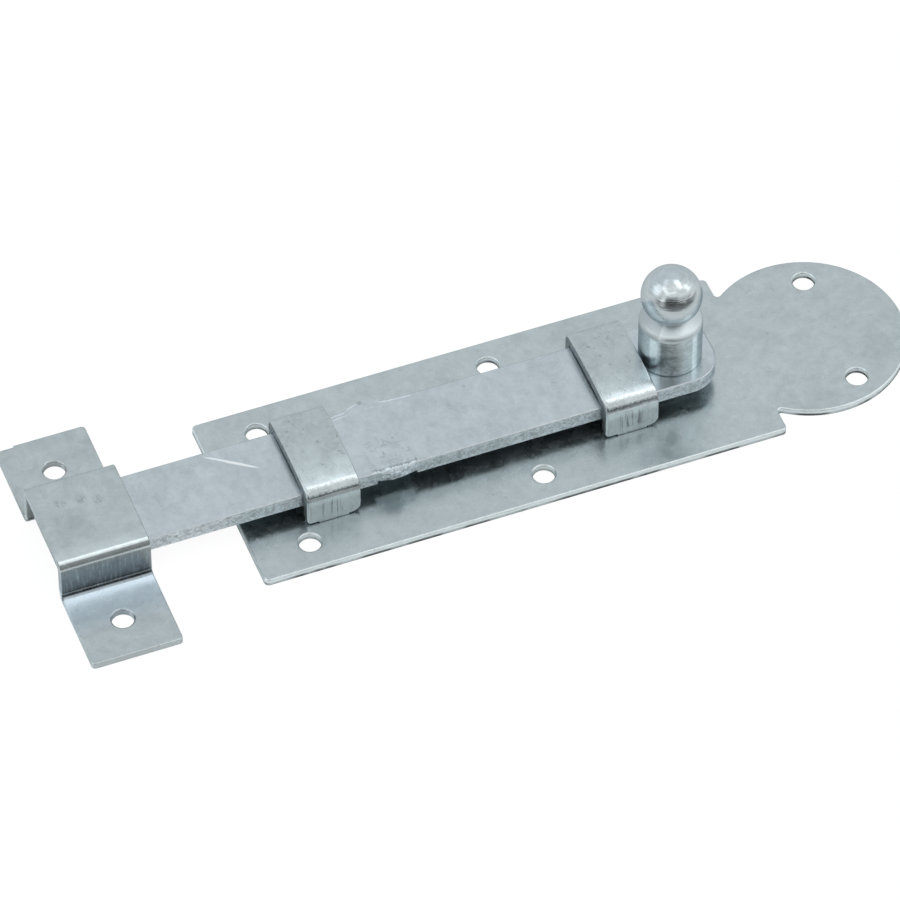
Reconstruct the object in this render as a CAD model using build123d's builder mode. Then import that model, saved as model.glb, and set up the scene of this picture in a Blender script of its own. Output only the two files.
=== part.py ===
from build123d import *
import math
import os

os.makedirs("parts", exist_ok=True)

# A flat slide bolt for a door or gate. The origin is on the back of the base plate, at the
# centre of its straight-sided part. X runs along the bolt, from the keeper to the knob, and
# Z stands out of the door. The bolt is shown thrown, with its tip in the keeper.

# Base plate, blanked from sheet: a rectangle that ends in a round head
plate_length = 127.3
plate_width = 50.0
plate_thickness = 1.75
plate_corner_radius = 1.2
head_radius = 23.3
head_offset = 15.1
notch_radius = 0.9
plate_edge_break = 0.28

# Screw holes, with their front rims broken
screw_hole_radius = 2.6
hole_rim_break = 0.28
hole_pair_spacing = 56.8
hole_side_spacing = 35.4
front_hole_inset = 13.35
head_hole_offset = 6.0
head_hole_spacing = 31.8

# Bolt bar, cut from flat stock
bar_width = 20.0
bar_thickness = 4.0
bar_lift = 3.6
bar_edge_break = 0.25
bar_heel = 9.9
bar_heel_corner_radius = 8.0
bar_tip_corner_radius = 1.6
tip_setback = 1.0

# Guide loops, bent from strap, with a tab on each foot that is peened behind the plate
guide_thickness = 2.5
guide_length = 13.0
guide_side_clearance = 0.5
guide_top_clearance = 0.6
guide_bend_radius = 0.5
guide_edge_break = 0.2
guide_foot_gap = 0.3
guide_front_corner_radius = 1.0
guide_rear_corner_radius = 3.2
front_guide_inset = 14.5
rear_guide_inset = 27.05
tab_width = 7.2
tab_clearance = 0.06
tab_recess = 0.1
flare_depth = 0.6
flare_angle = 45.0

# Ears, pinched out of both edges of the bar, which stop it at the rear guide
ear_gap = 5.2
ear_length = 9.6
ear_catch = 0.9
ear_root = 2.0
ear_lead = 3.0
ear_crest = 2.0
ear_pinch_below = 1.9
ear_pinch_above = 0.35
ear_corner_radius = 0.8

# Knob, turned in one piece with the spigot that is riveted over under the bar
knob_radius = 7.4
knob_side_height = 11.1
shoulder_angle = 28.5
shoulder_round = 2.0
shoulder_flats = 3
ball_radius = 7.1
ball_seat_radius = 4.15
spigot_radius = 3.0
spigot_clearance = 0.05
rivet_radius = 4.6
rivet_edge_break = 1.2
knob_gap = 0.5

# Leaf spring, held by the knob's rivet, which bears on the plate and steadies the bar
spring_thickness = 0.6
spring_width = 10.0
spring_heel = 6.5
spring_flat = 6.5
spring_reach = 44.0
spring_tail = 12.0
spring_tail_rise = 1.5

# Keeper, a separate hat-shaped bracket that is screwed to the frame
keeper_gap = 22.75
keeper_depth = 21.6
keeper_length = 68.0
keeper_thickness = 1.75
keeper_side_clearance = 1.15
keeper_top_clearance = 1.0
keeper_crown_bend_radius = 0.45
keeper_flange_bend_radius = 1.0
keeper_edge_break = 0.18
keeper_corner_radius = 1.0
keeper_hole_spacing = 47.2
shear_step_length = 4.4
shear_step_depth = 0.6

# Fits that more than one piece shares
running_gap = 0.3

# How close two radii are when an edge is picked by its radius
same_size = 0.01

# Heights
bar_bottom = plate_thickness + bar_lift
bar_top = bar_bottom + bar_thickness
floor_of_travel = plate_thickness + running_gap

# Places along the bolt
plate_front = -plate_length / 2
plate_rear = plate_length / 2
head_x = plate_rear + head_offset
front_guide_x = plate_front + front_guide_inset
rear_guide_x = plate_rear - rear_guide_inset - guide_length
knob_x = rear_guide_x + guide_length + knob_gap + knob_radius
keeper_rear = plate_front - keeper_gap
keeper_front = keeper_rear - keeper_depth
bar_tip = keeper_front + tip_setback
bar_rear = knob_x + bar_heel
ear_front = front_guide_x + guide_length + ear_gap
ear_rear = ear_front + ear_length

# Places across the bolt
bar_side = bar_width / 2
guide_inner_side = bar_side + guide_side_clearance
guide_middle_side = guide_inner_side + guide_thickness / 2
ear_side = guide_inner_side + ear_catch
ear_tail = ear_length - ear_lead - ear_crest
ear_stop = ear_rear - ear_tail * guide_side_clearance / (ear_side - bar_side)
tab_spread = flare_depth * math.tan(math.radians(flare_angle))
tab_end_spread = (flare_depth - tab_recess) * math.tan(math.radians(flare_angle))
ear_root_side = bar_side - ear_root
keeper_inner_side = bar_side + keeper_side_clearance
keeper_middle_side = keeper_inner_side + keeper_thickness / 2

# The bar runs back until the tapers of its ears meet the sides of the rear guide
slide_travel = rear_guide_x - ear_stop - running_gap

# Plan places of the screw holes
front_hole_x = plate_front + front_hole_inset
pair_hole_x = front_hole_x + hole_pair_spacing / 2
head_hole_x = head_x + head_hole_offset
keeper_x = (keeper_front + keeper_rear) / 2


# Base plate: the blank, its screw holes, and four slots that are flared at the back
with BuildPart() as base_plate:
    with BuildSketch(Plane.XY) as plate_outline:
        Rectangle(plate_length, plate_width)
        with Locations((head_x, 0)):
            Circle(head_radius)
        rows = plate_outline.vertices().group_by(Axis.Y)
        fillet(rows[1] + rows[-2], notch_radius)
        rows = plate_outline.vertices().group_by(Axis.Y)
        fillet(rows[0] + rows[-1], plate_corner_radius)
    extrude(amount=plate_thickness)
    chamfer(base_plate.faces().sort_by(Axis.Z)[-1].edges(), plate_edge_break)
    with BuildSketch(Plane.XY) as screw_holes:
        with Locations((pair_hole_x, 0)):
            with GridLocations(hole_pair_spacing, hole_side_spacing, 2, 2):
                Circle(screw_hole_radius)
        with Locations((head_hole_x, 0)):
            with GridLocations(1, head_hole_spacing, 1, 2):
                Circle(screw_hole_radius)
    extrude(amount=plate_thickness, mode=Mode.SUBTRACT)
    hole_rims = base_plate.edges().filter_by(GeomType.CIRCLE).group_by(Axis.Z)[-1]
    hole_rims = ShapeList(rim for rim in hole_rims if abs(rim.radius - screw_hole_radius) < same_size)
    chamfer(hole_rims, hole_rim_break)
    with BuildSketch(Plane.XY) as tab_slots:
        for guide_x in (front_guide_x, rear_guide_x):
            with Locations((guide_x + guide_length / 2, 0)):
                with GridLocations(1, 2 * guide_middle_side, 1, 2):
                    Rectangle(tab_width + 2 * tab_clearance, guide_thickness + 2 * tab_clearance)
    extrude(amount=plate_thickness, mode=Mode.SUBTRACT)
    with BuildSketch(Plane.XY) as slot_flares:
        for guide_x in (front_guide_x, rear_guide_x):
            with Locations((guide_x + guide_length / 2, 0)):
                with GridLocations(1, 2 * guide_middle_side, 1, 2):
                    Rectangle(
                        tab_width + 2 * (tab_clearance + tab_spread),
                        guide_thickness + 2 * (tab_clearance + tab_spread),
                    )
    extrude(amount=flare_depth, taper=flare_angle, mode=Mode.SUBTRACT)
base_plate.part.label = "base_plate"
export_step(base_plate.part, "parts/base_plate.step")


# Guide loops: the strap is bent over the bar, its feet are rounded at the corners, and the
# tab in the middle of each foot passes through the plate and is spread in the flared slot
def build_guide(name, guide_x):
    foot = plate_thickness + guide_foot_gap
    bend = guide_bend_radius + guide_thickness / 2
    crown = bar_top + guide_top_clearance + guide_thickness / 2
    with BuildPart() as guide:
        with BuildSketch(Plane.YZ.offset(guide_x)):
            with BuildLine():
                FilletPolyline(
                    (-guide_middle_side, foot),
                    (-guide_middle_side, crown),
                    (guide_middle_side, crown),
                    (guide_middle_side, foot),
                    radius=bend,
                )
            trace(line_width=guide_thickness)
        extrude(amount=guide_length)
        foot_corners = guide.edges().filter_by(Axis.Y).group_by(Axis.Z)[0]
        fillet(foot_corners.group_by(Axis.X)[-1], guide_rear_corner_radius)
        foot_corners = guide.edges().filter_by(Axis.Y).group_by(Axis.Z)[0]
        fillet(foot_corners.group_by(Axis.X)[0], guide_front_corner_radius)
        strap_sides = guide.faces().sort_by(Axis.X)
        chamfer(strap_sides[0].edges() + strap_sides[-1].edges(), guide_edge_break)
        with BuildSketch(Plane.XY.offset(tab_recess)):
            with Locations((guide_x + guide_length / 2, 0)):
                with GridLocations(1, 2 * guide_middle_side, 1, 2):
                    Rectangle(tab_width, guide_thickness)
        extrude(amount=foot + guide_thickness - tab_recess)
        with BuildSketch(Plane.XY.offset(tab_recess)):
            with Locations((guide_x + guide_length / 2, 0)):
                with GridLocations(1, 2 * guide_middle_side, 1, 2):
                    Rectangle(tab_width + 2 * tab_end_spread, guide_thickness + 2 * tab_end_spread)
        extrude(amount=flare_depth - tab_recess, taper=flare_angle)
    guide.part.label = name
    export_step(guide.part, f"parts/{name}.step")


build_guide("front_guide", front_guide_x)
build_guide("rear_guide", rear_guide_x)


# One ear of the bar: tapered both ways from its crest, longer towards the knob, and pinched
# thinner than the bar, more from below than from above
with BuildPart() as ear:
    with BuildSketch(Plane.XY.offset(bar_bottom)) as ear_plan:
        with BuildLine():
            Polyline(
                (ear_front, ear_root_side),
                (ear_front, bar_side),
                (ear_front + ear_lead, ear_side),
                (ear_front + ear_lead + ear_crest, ear_side),
                (ear_rear, bar_side),
                (ear_rear, ear_root_side),
                close=True,
            )
        make_face()
        fillet(ear_plan.vertices().group_by(Axis.Y)[-1], ear_corner_radius)
    extrude(amount=bar_thickness)
    with BuildSketch(Plane.YZ.offset(ear_front)):
        with BuildLine():
            Polyline(
                (ear_root_side, bar_bottom),
                (ear_side, bar_bottom + ear_pinch_below),
                (ear_side, bar_top - ear_pinch_above),
                (ear_root_side, bar_top),
                close=True,
            )
        make_face()
    extrude(amount=ear_length, mode=Mode.INTERSECT)


# Bolt bar: flat stock with a rounded heel under the knob, broken edges and two ears
with BuildPart() as bolt_bar:
    with BuildSketch(Plane.XY.offset(bar_bottom)) as bar_outline:
        with Locations(((bar_tip + bar_rear) / 2, 0)):
            Rectangle(bar_rear - bar_tip, bar_width)
        ends = bar_outline.vertices().group_by(Axis.X)
        fillet(ends[-1], bar_heel_corner_radius)
        ends = bar_outline.vertices().group_by(Axis.X)
        fillet(ends[0], bar_tip_corner_radius)
    extrude(amount=bar_thickness)
    broad_faces = bolt_bar.faces().sort_by(Axis.Z)
    chamfer(broad_faces[0].edges() + broad_faces[-1].edges(), bar_edge_break)
    with BuildSketch(Plane.XY.offset(bar_bottom)) as ear_seats:
        with Locations(((ear_front + ear_rear) / 2, 0)):
            with GridLocations(1, 2 * bar_side, 1, 2):
                Rectangle(ear_length, 2 * ear_root)
    extrude(amount=bar_thickness, mode=Mode.SUBTRACT)
    add(ear.part)
    mirror(ear.part, about=Plane.XZ)
    with Locations((knob_x, 0, bar_top)):
        Hole(spigot_radius + spigot_clearance)
bolt_bar.part.label = "bolt_bar"
export_step(bolt_bar.part, "parts/bolt_bar.step")


# Knob: a ball on a drum whose shoulder rises to it, with the spigot through the bar and the
# rivet head under the spring. The shoulder is rounded in flats that touch its arc
rivet_top = bar_bottom - spring_thickness
side_top = bar_top + knob_side_height
round_centre_radius = knob_radius - shoulder_round
shoulder_slope = math.radians(shoulder_angle)
flat_turn = (math.pi / 2 - shoulder_slope) / shoulder_flats
flat_reach = shoulder_round / math.cos(flat_turn / 2)
shoulder_corners = [
    (
        round_centre_radius + flat_reach * math.cos((flat + 0.5) * flat_turn),
        side_top + flat_reach * math.sin((flat + 0.5) * flat_turn),
    )
    for flat in range(shoulder_flats)
]
last_radius, last_height = shoulder_corners[-1]
ball_start = last_height + (last_radius - ball_seat_radius) * math.tan(shoulder_slope)
ball_centre = ball_start + math.sqrt(ball_radius ** 2 - ball_seat_radius ** 2)
knob_plane = Plane(origin=(knob_x, 0, 0), x_dir=(1, 0, 0), z_dir=(0, -1, 0))
with BuildPart() as knob:
    with BuildSketch(knob_plane):
        with BuildLine():
            Polyline(
                (0, ball_centre + ball_radius),
                (0, floor_of_travel),
                (rivet_radius, floor_of_travel),
                (rivet_radius, rivet_top),
                (spigot_radius, rivet_top),
                (spigot_radius, bar_top),
                (knob_radius, bar_top),
                *shoulder_corners,
                (ball_seat_radius, ball_start),
            )
            ThreePointArc(
                (ball_seat_radius, ball_start),
                (ball_radius, ball_centre),
                (0, ball_centre + ball_radius),
            )
        make_face()
    revolve(axis=Axis((knob_x, 0, 0), (0, 0, 1)))
    chamfer(knob.edges().filter_by(GeomType.CIRCLE).sort_by(Axis.Z)[0], rivet_edge_break)
knob.part.label = "knob"
export_step(knob.part, "parts/knob.step")


# Leaf spring: flat where the rivet holds it, then down to the plate, with a turned-up tail
spring_top = bar_bottom - spring_thickness / 2
spring_low = floor_of_travel + spring_thickness / 2
spring_start = knob_x - spring_flat
spring_contact = spring_start - spring_reach
spring_middle = ((spring_start + spring_contact) / 2, (spring_top + spring_low) / 2)
spring_end = (spring_contact - spring_tail, spring_low + spring_tail_rise)
with BuildPart() as bar_spring:
    with BuildSketch(Plane.XZ):
        with BuildLine():
            Line((knob_x + spring_heel, spring_top), (spring_start, spring_top))
            TangentArc((spring_start, spring_top), spring_middle, tangent=(-1, 0))
            TangentArc((spring_contact, spring_low), spring_middle, tangent=(1, 0))
            TangentArc((spring_contact, spring_low), spring_end, tangent=(-1, 0))
        trace(line_width=spring_thickness)
    extrude(amount=spring_width / 2, both=True)
    with Locations((knob_x, 0, bar_bottom)):
        Hole(spigot_radius + spigot_clearance)
bar_spring.part.label = "bar_spring"
export_step(bar_spring.part, "parts/bar_spring.step")


# Keeper: one strip folded into a hat, screwed down through both flanges. One corner shows
# the small step that the shear left
keeper_flat = keeper_thickness / 2
keeper_crown = bar_top + keeper_top_clearance + keeper_thickness / 2
crown_bend = keeper_crown_bend_radius + keeper_thickness / 2
flange_bend = keeper_flange_bend_radius + keeper_thickness / 2
with BuildPart() as keeper:
    with BuildSketch(Plane.YZ.offset(keeper_front)):
        with BuildLine():
            FilletPolyline(
                (-keeper_length / 2, keeper_flat),
                (-keeper_middle_side, keeper_flat),
                (-keeper_middle_side, keeper_crown),
                (keeper_middle_side, keeper_crown),
                (keeper_middle_side, keeper_flat),
                (keeper_length / 2, keeper_flat),
                radius=(flange_bend, crown_bend, crown_bend, flange_bend),
            )
        trace(line_width=keeper_thickness)
    extrude(amount=keeper_depth)
    with BuildSketch(Plane.XY) as shear_step:
        with Locations((keeper_front, keeper_length / 2)):
            Rectangle(2 * shear_step_length, 2 * shear_step_depth)
    extrude(amount=keeper_thickness, mode=Mode.SUBTRACT)
    flange_corners = keeper.edges().filter_by(Axis.Z).group_by(Axis.Y)
    fillet(flange_corners[0] + flange_corners[-1].sort_by(Axis.X)[-1:], keeper_corner_radius)
    strip_sides = keeper.faces().sort_by(Axis.X)
    chamfer(strip_sides[0].edges() + strip_sides[-1].edges(), keeper_edge_break)
    with BuildSketch(Plane.XY) as keeper_holes:
        with Locations((keeper_x, 0)):
            with GridLocations(1, keeper_hole_spacing, 1, 2):
                Circle(screw_hole_radius)
    extrude(amount=keeper_thickness, mode=Mode.SUBTRACT)
    keeper_rims = keeper.edges().filter_by(GeomType.CIRCLE)
    keeper_rims = ShapeList(rim for rim in keeper_rims if abs(rim.radius - screw_hole_radius) < same_size)
    chamfer(keeper_rims.group_by(Axis.Z)[-1], hole_rim_break)
keeper.part.label = "keeper"
export_step(keeper.part, "parts/keeper.step")

print(f"slide travel {slide_travel:.2f} mm, knob axis at x {knob_x:.2f} mm")
print(f"bar from x {bar_tip:.2f} to {bar_rear:.2f} mm, z {bar_bottom:.2f} to {bar_top:.2f} mm")
print(f"plate holes centred at x {pair_hole_x:.2f} mm and x {head_hole_x:.2f} mm")
print(f"keeper centred at x {keeper_x:.2f} mm, knob top at z {ball_centre + ball_radius:.2f} mm")
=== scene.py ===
import math

import bmesh
import bpy
import numpy as np
from mathutils import Matrix, Vector


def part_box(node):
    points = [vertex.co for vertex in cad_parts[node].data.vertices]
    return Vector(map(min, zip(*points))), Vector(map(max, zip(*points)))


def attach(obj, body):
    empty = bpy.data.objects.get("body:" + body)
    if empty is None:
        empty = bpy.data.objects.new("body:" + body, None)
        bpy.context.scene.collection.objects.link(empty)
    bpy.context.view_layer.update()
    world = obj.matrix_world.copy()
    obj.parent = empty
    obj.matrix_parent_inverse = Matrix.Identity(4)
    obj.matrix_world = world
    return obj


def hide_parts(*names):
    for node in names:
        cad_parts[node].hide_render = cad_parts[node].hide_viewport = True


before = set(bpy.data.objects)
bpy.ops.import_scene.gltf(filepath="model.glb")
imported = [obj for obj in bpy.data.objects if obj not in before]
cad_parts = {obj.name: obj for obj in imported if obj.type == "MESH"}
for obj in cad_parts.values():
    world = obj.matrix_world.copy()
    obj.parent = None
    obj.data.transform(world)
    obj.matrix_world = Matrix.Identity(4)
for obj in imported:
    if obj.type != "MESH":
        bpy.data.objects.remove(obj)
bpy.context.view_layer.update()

# Studio: a white table inside a round light tent. The tent has a bright U of lamps overhead,
# open at the back, two side lamps, and a dark gap in front, where the camera looks in.
PER_MM = 1000.0
FOCAL_PIXELS = 7344.83
PICTURE_PIXELS = 900
SENSOR_WIDTH = 36.0
CAMERA_TURN = math.radians(20.892)
CAMERA_HEIGHT = math.radians(48.860)
CAMERA_ROLL = -0.0028137
CAMERA_AIM = Vector((-0.0103156, -0.0018179, 0.0))
CAMERA_DISTANCE = 1.68044

# Light levels, with white cloth at 1. Each patch of the tent is a level, its left and right
# side in degrees round from the front, its low and high side in degrees up, and its border.
CLOTH = 0.79
CEILING = 0.97
CEILING_FROM = (72, 80)
TENT_PATCHES = {
    "glow behind the left lamp": (1.22, -162, -96, 62, 77, 4),
    "front cloth": (0.95, -60, 100, -30, 51, 4),
    "gap": (0.36, -46, 5, -20, 38, 3),
    "core of the gap": (0.10, -44, 2, 4, 23, 4),
    "foot of the gap": (0.30, -46, 46, -17, 2, 4),
    "light on the table's edge": (0.45, 20, 46, -4, 10, 3),
    "right side of the gap": (0.22, 2, 22, -8, 14, 3),
    "shade left of the front lamp": (0.62, -84, -66, -12, 10, 4),
    "front lamp": (1.70, -63, -53, 3, 28, 4),
    "left lamp": (1.45, -122, -82, 20, 50, 6),
    "right lamp": (1.75, 60, 80, 25, 50, 5),
}
# Overhead panels lie on a level sheet at height 1. Each has its low side, high side and
# border, first across the sheet and then from front to back.
LAMP = 2.15
DIM_LAMP = LAMP * 0.75
CEILING_PANEL = ((-0.70, 0.50, 0.10), (-0.70, 0.10, 0.10))
LEFT_LEG = ((-0.80, -0.50, 0.06), (-0.62, 0.10, 0.08))
BRIDGE = ((-0.70, 0.14, 0.06), (-0.74, -0.58, 0.05))
RIGHT_LEG = ((0.18, 0.50, 0.03), (-0.50, 0.15, 0.05))
RIGHT_LEG_SLANT = 0.36
COOL_CLOTH = (0.955, 1.0, 1.028, 1.0)
COOL_FROM = (60, 120)
PLAIN_WHITE = (1.0, 1.0, 1.0, 1.0)
TABLE_REACH = 3.0
TABLE_DROP = 0.00002
TABLE_PALE = 0.82
TABLE_SEEN = 0.10
TABLE_GLOW = 0.93
TABLE_LIT_FROM = (-0.13, -0.08)
MIRRORED_PALE = 0.15
MIRRORED_LIT = 0.45
MIRRORED_GLOW = 0.25
SHARP_FROM = math.radians(38)
DEGREES = 180 / math.pi


class Wire:
    """A value or vector in a node tree. Arithmetic on wires adds the matching Math nodes."""

    def __init__(self, tree, socket):
        self.tree = tree
        self.socket = socket

    def math(self, operation, *others):
        node = self.tree.nodes.new("ShaderNodeMath")
        node.operation = operation
        plug(self.tree, node.inputs[0], self)
        for slot, other in zip(node.inputs[1:], others):
            plug(self.tree, slot, other)
        return Wire(self.tree, node.outputs[0])

    def __add__(self, other):
        return self.math("ADD", other)

    def __sub__(self, other):
        return self.math("SUBTRACT", other)

    def __mul__(self, other):
        return self.math("MULTIPLY", other)

    def __truediv__(self, other):
        return self.math("DIVIDE", other)

    def __neg__(self):
        return self * -1.0

    def abs(self):
        return self.math("ABSOLUTE")

    def opposite(self):
        """1 less this, for a mask."""
        return self * -1.0 + 1.0

    def toward(self, value, mask):
        """This where the mask is 0, the value where it is 1, and a mix between."""
        return self + (self * -1.0 + value) * mask

    def step(self, low, high):
        """0 below low, 1 above high, and a smooth S curve between; high may be below low."""
        node = self.tree.nodes.new("ShaderNodeMapRange")
        node.interpolation_type = "SMOOTHSTEP"
        plug(self.tree, node.inputs["Value"], self)
        plug(self.tree, node.inputs["From Min"], low)
        plug(self.tree, node.inputs["From Max"], high)
        return Wire(self.tree, node.outputs["Result"])

    def band(self, low, high, soft):
        """1 between low and high, 0 outside, with edges that are soft wide."""
        return self.step(low - soft, low + soft) * self.step(high + soft, high - soft)

    def swing(self, amount):
        """A pattern from 0 to 1 as a change around 0, by half the amount either way."""
        return (self - 0.5) * amount

    def vector(self, operation, other=None):
        node = self.tree.nodes.new("ShaderNodeVectorMath")
        node.operation = operation
        plug(self.tree, node.inputs[0], self)
        if other is not None:
            plug(self.tree, node.inputs[1], other)
        result = "Value" if operation == "DOT_PRODUCT" else "Vector"
        return Wire(self.tree, node.outputs[result])

    def scaled(self, x, y, z):
        return self.vector("MULTIPLY", (x, y, z))

    def parts(self):
        node = self.tree.nodes.new("ShaderNodeSeparateXYZ")
        plug(self.tree, node.inputs[0], self)
        return [Wire(self.tree, out) for out in node.outputs]


def plug(tree, slot, value):
    """Sets an input to a number or colour, or links a wire to it."""
    if isinstance(value, Wire):
        tree.links.new(value.socket, slot)
    else:
        slot.default_value = value


def blend(tree, mask, first, second, kind="MIX"):
    """A colour: the first where the mask is 0, the second where it is 1."""
    node = tree.nodes.new("ShaderNodeMix")
    node.data_type = "RGBA"
    node.blend_type = kind
    plug(tree, node.inputs["Factor"], mask)
    plug(tree, node.inputs["A"], first)
    plug(tree, node.inputs["B"], second)
    return Wire(tree, node.outputs["Result"])


def grid_faces(rows, columns):
    """Quads between neighbours of a grid of points whose last column joins the first."""
    index = np.arange(rows * columns).reshape(rows, columns)
    index = np.concatenate([index, index[:, :1]], axis=1)
    corners = (index[:-1, :-1], index[:-1, 1:], index[1:, 1:], index[1:, :-1])
    return np.stack(corners, axis=-1).reshape(-1, 4).tolist()


def shape(name, points, faces, material):
    """A smooth object from points in millimetres, with its faces turned outwards."""
    mesh = bpy.data.meshes.new(name)
    mesh.from_pydata((np.asarray(points).reshape(-1, 3) / PER_MM).tolist(), [], faces)
    shell = bmesh.new()
    shell.from_mesh(mesh)
    bmesh.ops.recalc_face_normals(shell, faces=shell.faces)
    shell.to_mesh(mesh)
    shell.free()
    mesh.polygons.foreach_set("use_smooth", np.ones(len(mesh.polygons), dtype=bool))
    mesh.set_sharp_from_angle(angle=SHARP_FROM)
    mesh.materials.append(material)
    piece = bpy.data.objects.new(name, mesh)
    bpy.context.scene.collection.objects.link(piece)
    return piece


world = bpy.data.worlds.new("light_tent")
bpy.context.scene.world = world
world.use_nodes = True
sky = world.node_tree
sky.nodes.clear()
look = Wire(sky, sky.nodes.new("ShaderNodeTexCoord").outputs["Generated"])
look_x, look_y, look_z = look.parts()
around = look_x.math("ARCTAN2", -look_y) * DEGREES
above = look_z.math("ARCSINE") * DEGREES
height = look_z.math("MAXIMUM", 0.05)
across = look_x / height
back = look_y / height


def patch(left, right, low, high, soft):
    """A soft-edged patch of the tent, in degrees around from the front and degrees above."""
    return around.band(left, right, soft) * above.band(low, high, soft)


def panel(sideways, backwards, slant=0.0):
    """A soft-edged panel of the level sheet overhead; slant leans it as it goes back."""
    leaning = across + back * slant if slant else across
    return leaning.band(*sideways) * back.band(*backwards)


light = (above * 0.0 + CLOTH).toward(CEILING, above.step(*CEILING_FROM))
light = light.toward(CEILING, panel(*CEILING_PANEL))
for level, *sides in TENT_PATCHES.values():
    light = light.toward(level, patch(*sides))
light = light.toward(DIM_LAMP, panel(*LEFT_LEG))
light = light.toward(DIM_LAMP, panel(*BRIDGE))
light = light.toward(LAMP, panel(*RIGHT_LEG, RIGHT_LEG_SLANT))
backdrop = sky.nodes.new("ShaderNodeBackground")
cool = around.abs().step(*COOL_FROM)
seen = Wire(sky, sky.nodes.new("ShaderNodeLightPath").outputs["Is Camera Ray"])
plug(sky, backdrop.inputs["Color"], blend(sky, cool * seen.opposite(), PLAIN_WHITE, COOL_CLOTH))
plug(sky, backdrop.inputs["Strength"], light.toward(1.0, seen))
sky.links.new(backdrop.outputs[0], sky.nodes.new("ShaderNodeOutputWorld").inputs["Surface"])

paper = bpy.data.materials.new("white_table")
paper.use_nodes = True
table = paper.node_tree
table.nodes.clear()
matt = table.nodes.new("ShaderNodeBsdfDiffuse")
glow = table.nodes.new("ShaderNodeEmission")
both = table.nodes.new("ShaderNodeAddShader")
paths = table.nodes.new("ShaderNodeLightPath")
by_camera = Wire(table, paths.outputs["Is Camera Ray"])
by_metal = Wire(table, paths.outputs["Is Glossy Ray"])
table_place = Wire(table, table.nodes.new("ShaderNodeTexCoord").outputs["Object"])
lit = table_place.parts()[1].step(*TABLE_LIT_FROM)
plug(table, glow.inputs["Strength"], by_camera * TABLE_GLOW + by_metal * lit * MIRRORED_GLOW)
mirrored = by_metal * (lit * MIRRORED_LIT + MIRRORED_PALE - TABLE_PALE)
paleness = by_camera * (TABLE_SEEN - TABLE_PALE) + mirrored + TABLE_PALE
shade = table.nodes.new("ShaderNodeCombineColor")
for channel in shade.inputs:
    plug(table, channel, paleness)
table.links.new(shade.outputs[0], matt.inputs["Color"])
table.links.new(matt.outputs[0], both.inputs[0])
table.links.new(glow.outputs[0], both.inputs[1])
table.links.new(both.outputs[0], table.nodes.new("ShaderNodeOutputMaterial").inputs["Surface"])
corners = np.array([[-1, -1, 0], [1, -1, 0], [1, 1, 0], [-1, 1, 0]]) * TABLE_REACH * PER_MM
floor = shape("floor", corners, [(0, 1, 2, 3)], paper)
floor.location.z = -TABLE_DROP

forward = Vector((
    math.sin(CAMERA_TURN) * math.cos(CAMERA_HEIGHT),
    math.cos(CAMERA_TURN) * math.cos(CAMERA_HEIGHT),
    -math.sin(CAMERA_HEIGHT),
))
level = Vector((math.cos(CAMERA_TURN), -math.sin(CAMERA_TURN), 0.0))
upright = level.cross(forward)
right = level * math.cos(CAMERA_ROLL) + upright * math.sin(CAMERA_ROLL)
upward = upright * math.cos(CAMERA_ROLL) - level * math.sin(CAMERA_ROLL)
camera_data = bpy.data.cameras.new("camera")
camera_data.sensor_width = SENSOR_WIDTH
camera_data.lens = FOCAL_PIXELS * SENSOR_WIDTH / PICTURE_PIXELS
camera = bpy.data.objects.new("camera", camera_data)
bpy.context.scene.collection.objects.link(camera)
turn = Matrix((right, upward, -forward)).transposed().to_4x4()
camera.matrix_world = Matrix.Translation(CAMERA_AIM - forward * CAMERA_DISTANCE) @ turn
bpy.context.scene.camera = camera
bpy.context.scene.view_settings.view_transform = "Standard"


# Base plate: bright zinc on cold rolled sheet, blanked in one stroke. Its top is satin from
# the rolls, with faint cloudy mottling, small handling flecks and edges rolled by the die.
PLATE_COLOUR = (0.548, 0.606, 0.619)
GRAZING_TINT = (0.66, 0.70, 0.72, 1.0)
# Painted tint: a bluer cast for shade and dark reflections.
PAINTED_SHADE_BLUE = (0.95, 1.0, 1.07, 1.0)
PLATE_RELIEF = 0.010
PLATE_HOLES = ((-50.3, 17.7), (6.5, 17.7), (84.75, 15.9))
HOLE_REACH = 2.9
# Where a painted dark reflection lies on the plate, in front of the bar's near ear.
DARK_REFLECTION_SPOT = (-29.0, -14.3)
BRIGHT_STAINS = ((67.2, -13.7), (79.2, -12.4))
RING_MARK = (-58.4, 18.4)


def noise(place, scale, detail=2.0, roughness=0.5, distortion=0.0):
    """Cloud pattern from 0 to 1, with its cells 1 / scale mm wide."""
    node = place.tree.nodes.new("ShaderNodeTexNoise")
    plug(place.tree, node.inputs["Vector"], place)
    node.inputs["Scale"].default_value = scale
    node.inputs["Detail"].default_value = detail
    node.inputs["Roughness"].default_value = roughness
    node.inputs["Distortion"].default_value = distortion
    return Wire(place.tree, node.outputs["Fac"])


def tinted(shade, colour):
    """A colour made brighter or darker by a wire around 1."""
    grey = shade.tree.nodes.new("ShaderNodeCombineColor")
    for channel in grey.inputs:
        plug(shade.tree, channel, shade)
    return blend(shade.tree, 1.0, (*colour, 1.0), Wire(shade.tree, grey.outputs[0]), "MULTIPLY")


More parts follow.
